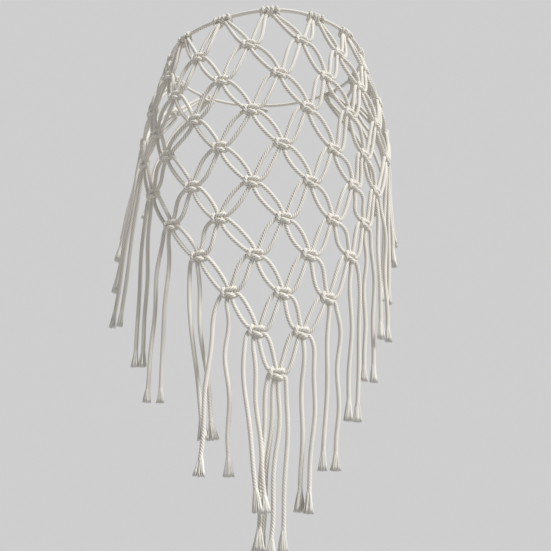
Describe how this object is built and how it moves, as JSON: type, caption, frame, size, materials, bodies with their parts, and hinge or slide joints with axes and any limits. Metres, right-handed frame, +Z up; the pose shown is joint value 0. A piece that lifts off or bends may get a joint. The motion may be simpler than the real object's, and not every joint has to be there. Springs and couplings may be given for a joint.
{
  "type": "macrame hip sash",
  "caption": "Netted cord sash worn round the waist, coming to a point in front, with a long free fringe along both sloping edges.",
  "frame": {"origin": "middle of the waistline, where the wearer holds the sash up", "axes": "+Z up, -Y out of the front over the point of the net, +X to the right of a viewer who faces the front"},
  "size_m": [0.3601, 0.2814, 0.5886],
  "materials": {
    "waist_cord": "twisted cotton, matt",
    "heads": "twisted cotton, matt",
    "net": "twisted cotton, matt",
    "fringe": "twisted cotton, frayed ends"
  },
  "bodies": {
    "root": {"waist_cord": "waist_cord", "back_tie": "waist_cord", "head_01": "heads", "head_02": "heads", "head_03": "heads", "head_04": "heads", "head_05": "heads", "head_06": "heads", "head_07": "heads", "head_08": "heads", "head_09": "heads", "head_10": "heads", "head_11": "heads", "net_left": "net", "net_right": "net", "fringe_left_01": "fringe", "fringe_right_01": "fringe", "fringe_left_02": "fringe", "fringe_right_02": "fringe", "fringe_left_03": "fringe", "fringe_right_03": "fringe", "fringe_left_04": "fringe", "fringe_right_04": "fringe", "fringe_left_05": "fringe", "fringe_right_05": "fringe", "fringe_left_06": "fringe", "fringe_right_06": "fringe", "fringe_left_07": "fringe", "fringe_right_07": "fringe", "fringe_left_08": "fringe", "fringe_right_08": "fringe", "fringe_left_09": "fringe", "fringe_right_09": "fringe", "fringe_left_10": "fringe", "fringe_right_10": "fringe", "fringe_tip": "fringe"}
  },
  "joints": []
}
